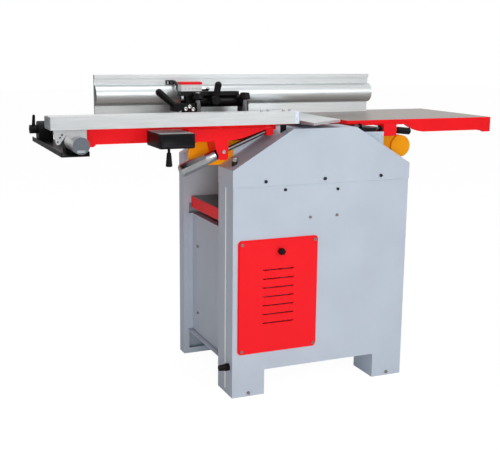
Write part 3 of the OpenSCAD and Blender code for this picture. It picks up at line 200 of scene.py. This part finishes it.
# Finishes
PLAIN_SHINE = 0.14
CASTING_SHINE = 0.16
EVEN = (1, 1, 1)
DRAWN = (0.05, 1, 1)    # lines stretched along X


def coated_sheet(name, colour, roughness=0.45, peel=900, grime=0.05, shine=0.4):
    finish, tree, shader = new_finish(name)
    place = object_place(tree)
    wire(tree, shader,
         tone(tree, noise(tree, place, 5, 5), colour, grime),
         uneven(tree, noise(tree, place, 40, 4), roughness),
         bump(tree, noise(tree, place, peel, 2), 0.12, 0.0006))
    shader.inputs["Specular IOR Level"].default_value = shine
    return finish


def moulded_plastic(name, colour, roughness=0.5):
    finish, tree, shader = new_finish(name)
    place = object_place(tree)
    wire(tree, shader,
         tone(tree, noise(tree, place, 25, 3), colour, 0.15),
         uneven(tree, noise(tree, place, 90, 3), roughness),
         bump(tree, noise(tree, place, 1400, 2), 0.2, 0.0004))
    shader.inputs["Specular IOR Level"].default_value = PLAIN_SHINE
    return finish


def worked_metal(name, colour, roughness, stretch, fineness=220, depth=0.12, shade=0.06,
                 metal=1.0, other=None, where=painted_shade_ends):
    """Metal with tool lines, and another colour where a mask says so."""
    finish, tree, shader = new_finish(name)
    lines = noise(tree, object_place(tree, stretch), fineness, 4)
    colours = tone(tree, lines, colour, shade)
    if other:
        grain = noise(tree, object_place(tree), 120, 3)
        colours = mixed(tree, where(tree), colours, tone(tree, grain, other, 0.2))
    wire(tree, shader, colours, uneven(tree, lines, roughness, 0.06), bump(tree, lines, depth, 0.0004))
    shader.inputs["Metallic"].default_value = metal
    return finish


def ground_casting(name, paint, face, level):
    """Gloss paint all round, with a ground face on what looks up above a level."""
    finish, tree, shader = new_finish(name)
    place = object_place(tree)
    lines = noise(tree, object_place(tree, (0.04, 1, 1)), 260, 4)
    over = both(tree, past("Z", FACING, "Normal")(tree), past("Z", level)(tree))
    painted = tone(tree, noise(tree, place, 7, 4), paint, 0.06)
    gloss = spread(tree, noise(tree, place, 35, 3), 0.26, 0.4)
    satin = spread(tree, lines, 0.3, 0.46)
    wire(tree, shader,
         mixed(tree, over, painted, tone(tree, lines, face, 0.09)),
         mixed(tree, over, gloss, satin, "FLOAT"),
         bump(tree, noise(tree, place, 320, 3), 0.15, 0.0008))
    tree.links.new(spread(tree, over, 0.0, 0.9), shader.inputs["Metallic"])
    shader.inputs["Specular IOR Level"].default_value = CASTING_SHINE
    return finish


def two_zone(name, where, low, high):
    """One piece in two finishes, each (colour, roughness, metallic): off a mask and on it."""
    finish, tree, shader = new_finish(name)
    mask = where(tree)
    grain = noise(tree, object_place(tree), 140, 3)
    colours = [tone(tree, grain, end[0], 0.08) for end in (low, high)]
    gloss = [uneven(tree, grain, end[1], 0.05, 0.08) for end in (low, high)]
    wire(tree, shader, mixed(tree, mask, *colours), mixed(tree, mask, *gloss, "FLOAT"),
         bump(tree, grain, 0.1, 0.0003))
    tree.links.new(spread(tree, mask, low[2], high[2]), shader.inputs["Metallic"])
    shader.inputs["Specular IOR Level"].default_value = PLAIN_SHINE
    return finish


JET = (0.004, 0.004, 0.005)
CABINET_GREY = (0.53, 0.60, 0.69)
CASTING_RED = (0.97, 0.010, 0.016)
PALE_ALLOY = (0.62, 0.64, 0.65)

BLACK = (JET, 0.4, 0.0)
BRIGHT = ((0.52, 0.53, 0.54), 0.26, 1.0)
DARK_IRON = ((0.03, 0.03, 0.032), 0.38, 0.6)
DULL_PLATE = ((0.30, 0.27, 0.26), 0.36, 0.8)
GREY_PAINT = (CABINET_GREY, 0.45, 0.0)
DARK_ROD = ((0.09, 0.09, 0.095), 0.3, 0.8)
POST_STEEL = ((0.20, 0.20, 0.21), 0.2, 1.0)
CARRIER_LOW = ((0.012, 0.012, 0.012), 0.3, 0.5)
CARRIER_HIGH = ((0.012, 0.012, 0.013), 0.4, 0.2)
SLEEVE_CAP = ((0.16, 0.18, 0.21), 0.4, 0.8)
SLEEVE_BODY = ((0.52, 0.53, 0.54), 0.4, 1.0)
# Pale grey for the black latch box's top faces: a painted reflection, not a paint of its own
TOP_REFLECTION_GREY = ((0.45, 0.45, 0.45), 0.3, 0.0)

# One finish for each slot of the record
FINISHES = {
    "cabinet_paint": coated_sheet("cabinet_powder_coat", CABINET_GREY),
    "red_paint": coated_sheet("cover_red_gloss", (0.98, 0.010, 0.018), 0.42, 500, 0.03, 0.2),
    "table_casting": ground_casting("table_casting_red", CASTING_RED, (0.255, 0.22, 0.198), 0.868),
    "fence_alloy": worked_metal("drawn_alloy", PALE_ALLOY, 0.36, DRAWN, metal=0.75),
    "bright_steel": worked_metal("turned_steel", (0.46, 0.47, 0.48), 0.3, (1, 1, 0.1)),
    "dark_steel": coated_sheet("black_satin_steel", JET, 0.4, 700, 0.2, 0.12),
    "chrome": worked_metal("polished_plating", (0.60, 0.61, 0.62), 0.14, EVEN, 60, 0.03, 0.02),
    "black_plastic": moulded_plastic("black_moulding", JET, 0.42),
    "hood_paint": coated_sheet("hood_orange_gloss", (1.0, 0.38, 0.006), 0.4, 500, 0.04, 0.12),
    "bearing_iron": coated_sheet("oiled_iron", (0.06, 0.062, 0.066), 0.4, 260, 0.2),
    "motor_alloy": coated_sheet("motor_grey", (0.09, 0.10, 0.12), 0.5, 420, 0.15),
    "belt_rubber": moulded_plastic("belt_rubber", (0.012, 0.012, 0.012), 0.75),
    "bush_brass": worked_metal("turned_brass", (0.72, 0.52, 0.2), 0.3, EVEN),
    "start_green": moulded_plastic("button_green", (0.01, 0.25, 0.03), 0.35),
    "stop_red": moulded_plastic("button_red", (0.6, 0.01, 0.01), 0.35),
}

# Nodes whose look differs from the rest of their slot, or along their length
NODE_FINISHES = {
    "thicknesser_table": ground_casting("thicknesser_red", CASTING_RED, (0.16, 0.16, 0.165), 0.584),
    "frame_bolts": two_zone("wall_fasteners", dark_heads, DULL_PLATE, DARK_IRON),
    "table_rest_bolts": two_zone("rest_bolt_steel", past("Z", 0.758), DARK_IRON, BRIGHT),
    "lock_catches": two_zone("catch_paint", past("Z", 0.8355), GREY_PAINT, BLACK),
    # The fence's end faces take the near-black other colour: painted shade, not a different finish
    "fence": worked_metal("fence_section", (0.62, 0.65, 0.66), 0.36, DRAWN, metal=0.75,
                          other=(0.03, 0.03, 0.028)),
    "guard_bar": worked_metal("guard_section", PALE_ALLOY, 0.36, DRAWN, metal=0.75,
                              other=(0.66, 0.74, 0.86), where=past("X", at(-117, 0, 0).x)),
    "depth_spindle": two_zone("spindle_steel", past("X", at(297, 0, 0).x), DARK_ROD, BLACK),
    "clamp_posts": two_zone("post_steel", past("Z", 0.931), POST_STEEL, BLACK),
    "fence_carrier": two_zone("carrier_black", past("Z", 0.9455), CARRIER_LOW, CARRIER_HIGH),
    "outfeed_lock_rod": worked_metal("browned_rod", (0.17, 0.17, 0.175), 0.3, (0.1, 1, 1)),
    "outfeed_lock_handle": worked_metal("satin_plating", (0.52, 0.53, 0.54), 0.2, EVEN, 90, 0.05, 0.03),
    "guard_bracket": worked_metal("cast_alloy_lug", (0.50, 0.51, 0.52), 0.45, EVEN, 160),
    "guard_sleeve": two_zone("sleeve_alloy", past("Y", at(0, -44.5, 0).y), SLEEVE_CAP, SLEEVE_BODY),
}


def finish_nodes():
    for entry in frame["record"]["subparts"]:
        piece = nodes[entry["node"]]
        piece.data.materials.clear()
        piece.data.materials.append(NODE_FINISHES.get(entry["node"], FINISHES[entry["material_slot"]]))


# Modelling by hand: begin with a primitive, choose faces in code, shape them, hand the piece over.
# Sizes here are in millimetres.
def begin_block(low, high):
    bpy.ops.object.select_all(action="DESELECT")
    low, high = at(*low), at(*high)
    bpy.ops.mesh.primitive_cube_add(size=1, location=(low + high) / 2)
    piece = bpy.context.object
    piece.scale = high - low
    bpy.ops.object.transform_apply(location=True, rotation=True, scale=True)
    return piece


def begin_drum(centre, radius, length, along, sides):
    bpy.ops.object.select_all(action="DESELECT")
    bpy.ops.mesh.primitive_cylinder_add(vertices=sides, radius=radius / 1000, depth=length / 1000)
    piece = bpy.context.object
    piece.rotation_mode = "QUATERNION"
    piece.rotation_quaternion = Vector(along).to_track_quat("Z", "Y")
    piece.location = at(*centre)
    bpy.ops.object.transform_apply(location=True, rotation=True, scale=True)
    return piece


def choose(piece, test):
    bpy.ops.object.mode_set(mode="EDIT")
    bpy.ops.mesh.select_mode(type="FACE")
    bpy.ops.mesh.select_all(action="DESELECT")
    bpy.ops.object.mode_set(mode="OBJECT")
    for face in piece.data.polygons:
        face.select = test(face)
    bpy.ops.object.mode_set(mode="EDIT")


def press(piece, way, *steps):
    """Inset the faces that look one way, step by step, each (thickness, depth)."""
    way = Vector(way).normalized()
    choose(piece, lambda f: f.normal.dot(way) > FACING)
    for thickness, depth in steps:
        bpy.ops.mesh.inset(thickness=thickness / 1000, depth=depth / 1000)


def soften(piece, width, steps=3):
    bpy.ops.object.mode_set(mode="OBJECT")
    round_over = piece.modifiers.new("soft_edge", "BEVEL")
    round_over.width = width / 1000
    round_over.segments = steps
    round_over.limit_method = "ANGLE"
    round_over.angle_limit = math.radians(40)
    bpy.context.view_layer.objects.active = piece
    bpy.ops.object.modifier_apply(modifier=round_over.name)


def hand_over(piece, name, body, slot, finish=None):
    bpy.ops.object.mode_set(mode="EDIT")
    bpy.ops.mesh.select_all(action="SELECT")
    bpy.ops.mesh.remove_doubles(threshold=0.00001)
    bpy.ops.mesh.normals_make_consistent(inside=False)
    bpy.ops.object.mode_set(mode="OBJECT")
    bpy.ops.object.shade_smooth_by_angle(angle=math.radians(35))
    piece.name = name
    piece.data.name = name
    piece.data.materials.clear()
    piece.data.materials.append(finish or FINISHES[slot])
    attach(piece, body)


def copy_piece(piece, name, shift, body):
    twin = piece.copy()
    twin.data = piece.data.copy()
    twin.parent = None
    scene.collection.objects.link(twin)
    bpy.ops.object.select_all(action="DESELECT")
    twin.select_set(True)
    bpy.context.view_layer.objects.active = twin
    bpy.ops.object.mode_set(mode="EDIT")
    bpy.ops.mesh.select_all(action="SELECT")
    bpy.ops.transform.translate(value=[v / 1000 for v in shift])
    bpy.ops.object.mode_set(mode="OBJECT")
    twin.name = name
    twin.data.name = name
    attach(twin, body)


# Latch box with a pressed front and rounded edges: black, with its upward faces painted pale grey as a
# painted reflection of the bar above
def latch_case():
    case = begin_block((-563, -55, 814), (-456, 75, 858))
    press(case, NEAR, (7, 0), (1.5, -1.2))
    soften(case, 3.5)
    finish = two_zone("latch_black_painted_top_reflection", past("Z", FACING, "Normal"), BLACK, TOP_REFLECTION_GREY)
    hand_over(case, "latch_case", "outfeed", "black_plastic", finish)
    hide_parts("latch_box")


# Moulded plugs in the guard bar's two ends
def bar_plugs():
    plug = begin_block((-866.5, -16, 875.5), (-864, 58, 908))
    press(plug, LEFT, (6, 0), (1, -1.2))
    soften(plug, 0.8, 2)
    grey = moulded_plastic("plug_grey", (0.28, 0.29, 0.30), 0.45)
    hand_over(plug, "bar_plug_left", "guard", "black_plastic", grey)
    copy_piece(plug, "bar_plug_right", (762.5, 0, 0), "guard")


# Grooved ring, used on the lock handle's neck and the depth spindle
def grooved_ring(name, centre, radius, length, along, body):
    ring = begin_drum(centre, radius, length, along, 36)
    way = Vector(along).normalized()
    choose(ring, lambda f: abs(f.normal.dot(way)) < 0.5)
    bpy.ops.mesh.inset(thickness=0.0005, depth=-0.0009, use_individual=True)
    choose(ring, lambda f: abs(f.normal.dot(way)) > FACING)
    bpy.ops.mesh.inset(thickness=0.0015, depth=0)
    bpy.ops.mesh.inset(thickness=0.0006, depth=-0.0006)
    hand_over(ring, name, body, "dark_steel")


# Plated neck and collar of the lock handle
def lock_rings():
    slope = math.radians(22)
    along = Vector((-math.cos(slope), 0, -math.sin(slope)))
    top = Vector((-164, 62, 852))
    neck = begin_drum(top + along * 219, 16.6, 34, along, 40)
    press(neck, -along, (2.5, 0), (0.8, -3))
    soften(neck, 1.4)
    hand_over(neck, "lock_neck", "table_lock", "chrome", NODE_FINISHES["outfeed_lock_handle"])
    grooved_ring("lock_collar", top + along * 199, 15.5, 6, along, "table_lock")


def spindle_rings():
    slope = math.radians(6)
    along = Vector((math.cos(slope), 0, -math.sin(slope)))
    top = Vector((135, 62, 853))
    for name, run in (("start", 22), ("lug", 98), ("grip", 172)):
        grooved_ring("spindle_ring_" + name, top + along * run, 9.5, 7, along, "depth_screw")


# Scale box dress: pale face, ruled lines and a red lid
def scale_dress():
    face = begin_block((-375, 303.6, 958.4), (-304, 341, 980))
    press(face, NEAR, (2, 0), (0.5, -0.4))
    soften(face, 0.5, 2)
    white = coated_sheet("scale_white", (0.82, 0.83, 0.84), 0.35, 700, 0.03)
    hand_over(face, "scale_face", "carriage", "cabinet_paint", white)
    line = begin_block((-371, 303.5, 963), (-370.3, 304.2, 970))
    soften(line, 0.1, 1)
    ink = moulded_plastic("scale_ink", (0.02, 0.02, 0.02))
    hand_over(line, "scale_line_00", "carriage", "dark_steel", ink)
    pitch = 4.8
    for i in range(1, 14):
        copy_piece(line, f"scale_line_{i:02d}", (pitch * i, 0, 0), "carriage")
    lid = begin_block((-376, 302.5, 980), (-303, 342, 988.5))
    press(lid, UP, (3, 0), (1, -0.8))
    soften(lid, 1.2)
    hand_over(lid, "scale_lid", "carriage", "red_paint")


# Plated stop beside the scale box, and the discs in the post caps
def carrier_trim():
    stop = begin_drum((-291, 312, 966), 7.5, 26, RIGHT, 32)
    press(stop, RIGHT, (3, 0), (1, 4))
    soften(stop, 1.4)
    hand_over(stop, "plated_stop", "carriage", "chrome")
    disc = begin_drum((-329, 272, 955), 8, 2.4, UP, 24)
    press(disc, UP, (3, 0), (0.6, -1.2))
    soften(disc, 0.5, 2)
    hand_over(disc, "cap_disc_left", "carriage", "bright_steel")
    copy_piece(disc, "cap_disc_right", (165, 0, 0), "carriage")


# Plated nuts on the carrier's boss and a bolt under its rail
def clamp_nuts():
    nut = begin_drum((-364, 257.5, 912), 7, 9, FAR, 6)
    press(nut, NEAR, (2.5, 0), (0.4, -3))
    soften(nut, 0.8, 2)
    hand_over(nut, "clamp_nut", "carriage", "chrome")
    copy_piece(nut, "clamp_nut_left", (-13, 0, -7), "carriage")
    copy_piece(nut, "clamp_nut_right", (12, 0, -9), "carriage")
    bolt = begin_drum((-372, 300, 938), 6, 14, UP, 6)
    press(bolt, DOWN, (1.5, 1.2))
    soften(bolt, 0.7, 2)
    hand_over(bolt, "rail_bolt", "carriage", "chrome")


# Domed head on the table's rest bolt
def rest_head():
    head = begin_drum((-293, 42, 766.5), 10, 6, UP, 24)
    press(head, UP, (3, 1.2))
    soften(head, 1.2)
    hand_over(head, "rest_head", "machine", "bright_steel")


# Socket screw in the lock bracket's low lug
def lug_screw():
    screw = begin_drum((-326, 49, 787), 6, 3, NEAR, 24)
    press(screw, NEAR, (1.5, 0.6), (1.6, -1.6))
    soften(screw, 0.5, 2)
    hand_over(screw, "lug_screw", "outfeed", "bright_steel")


# Screw heads on top of the guard bar, near its inner end
def bar_screws():
    (x0, y0), *others = (-214, 21), (-188, 30), (-140, 21), (-114, 30)
    head = begin_drum((x0, y0, 912.5), 4.5, 6, UP, 24)
    press(head, UP, (1.2, 0.8), (1, -2))
    soften(head, 0.4, 2)
    hand_over(head, "bar_screw_1", "guard", "bright_steel")
    for i, (x, y) in enumerate(others, 2):
        copy_piece(head, f"bar_screw_{i}", (x - x0, y - y0, 0), "guard")


# Rolled edge along the joint of the near frame's two pans, coloured near-white as a painted highlight
def joint_edge():
    edge = begin_block((-315.3, 60, 16), (-313.1, 65, 675))
    choose(edge, lambda f: abs(f.normal.z) > FACING)
    bpy.ops.mesh.inset(thickness=0.0006, depth=0.0008)
    soften(edge, 1.1)
    # Near-white rather than the cabinet grey: a painted highlight along the joint
    pale = coated_sheet("rolled_edge_painted_highlight", (0.90, 0.92, 0.94), 0.35, 700, 0.03, 0.5)
    hand_over(edge, "frame_joint_edge", "machine", "cabinet_paint", pale)


# Pressed lips in the upper half of the cover's slots
def slot_lips():
    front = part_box("drive_cover")[0][1] * 1000 + ORIGIN_Y
    lip = begin_block((-212, front + 0.5, 416.6), (-105, front + 5, 421.2))
    press(lip, DOWN, (0.6, 0))
    bpy.ops.transform.translate(value=(0, 0.0008, -0.0007))
    soften(lip, 0.4, 2)
    hand_over(lip, "slot_lip_0", "machine", "red_paint")
    pitch = 29
    for i in range(1, 7):
        copy_piece(lip, f"slot_lip_{i}", (0, 0, -pitch * i), "machine")


# Studio: white surroundings, a soft key from the front right, fills from the left and a top light
ROOM_LIGHT = 0.27
ROOM_SEEN = 1.0
FLOOR_GLOW = 1.11
FLOOR_GLOW_SHARE = 0.86


def white_studio():
    world = bpy.data.worlds.new("white_room")
    scene.world = world
    world.use_nodes = True
    tree = world.node_tree
    tree.nodes.clear()
    rays = node(tree, "ShaderNodeLightPath").outputs
    seen = math_node(tree, "MAXIMUM", rays["Is Camera Ray"], rays["Is Glossy Ray"])
    seen = math_node(tree, "MAXIMUM", seen, rays["Is Transmission Ray"])
    light = node(tree, "ShaderNodeBackground", Color=(1, 1, 1, 1))
    tree.links.new(spread(tree, seen, ROOM_LIGHT, ROOM_SEEN), light.inputs["Strength"])
    out = node(tree, "ShaderNodeOutputWorld")
    tree.links.new(light.outputs[0], out.inputs["Surface"])


def white_floor():
    bpy.ops.object.select_all(action="DESELECT")
    bpy.ops.mesh.primitive_plane_add(size=30, location=(0, 4, 0))
    floor = bpy.context.object
    floor.name = "studio_floor"
    finish, tree, shader = new_finish("floor_white")
    tree.nodes.remove(shader)
    rays = node(tree, "ShaderNodeLightPath").outputs
    diffuse = node(tree, "ShaderNodeBsdfDiffuse", Color=(0.9, 0.9, 0.9, 1))
    glow = node(tree, "ShaderNodeEmission", Color=(1, 1, 1, 1), Strength=FLOOR_GLOW)
    mix = node(tree, "ShaderNodeMixShader")
    share = math_node(tree, "MULTIPLY", rays["Is Camera Ray"], FLOOR_GLOW_SHARE)
    tree.links.new(share, mix.inputs["Fac"])
    tree.links.new(diffuse.outputs[0], mix.inputs[1])
    tree.links.new(glow.outputs[0], mix.inputs[2])
    tree.links.new(mix.outputs[0], tree.nodes["Material Output"].inputs["Surface"])
    floor.data.materials.append(finish)


def soft_box(name, place, aim_height, size, power, mirrored=True):
    """A square lamp that looks at the machine's middle, at a height in metres."""
    bpy.ops.object.light_add(type="AREA", location=place)
    lamp = bpy.context.object
    lamp.name = name
    lamp.data.size = size
    lamp.data.energy = power
    lamp.visible_glossy = mirrored
    lamp.rotation_mode = "QUATERNION"
    aim = Vector((0, 0, aim_height)) - Vector(place)
    lamp.rotation_quaternion = aim.to_track_quat("-Z", "Y")


place_camera()
white_studio()
white_floor()
soft_box("key_box", (1.3, -3.5, 2.2), 0.6, 2.0, 40)
soft_box("front_fill", (-1.15, -3.3, 0.85), 0.7, 1.0, 32, mirrored=False)
soft_box("side_fill", (-1.7, -3.0, 0.9), 0.6, 1.0, 5, mirrored=False)
soft_box("top_box", (-0.4, 0.2, 3.2), 0.6, 2.2, 26)
finish_nodes()
latch_case()
bar_plugs()
lock_rings()
spindle_rings()
scale_dress()
carrier_trim()
clamp_nuts()
rest_head()
lug_screw()
bar_screws()
joint_edge()
slot_lips()
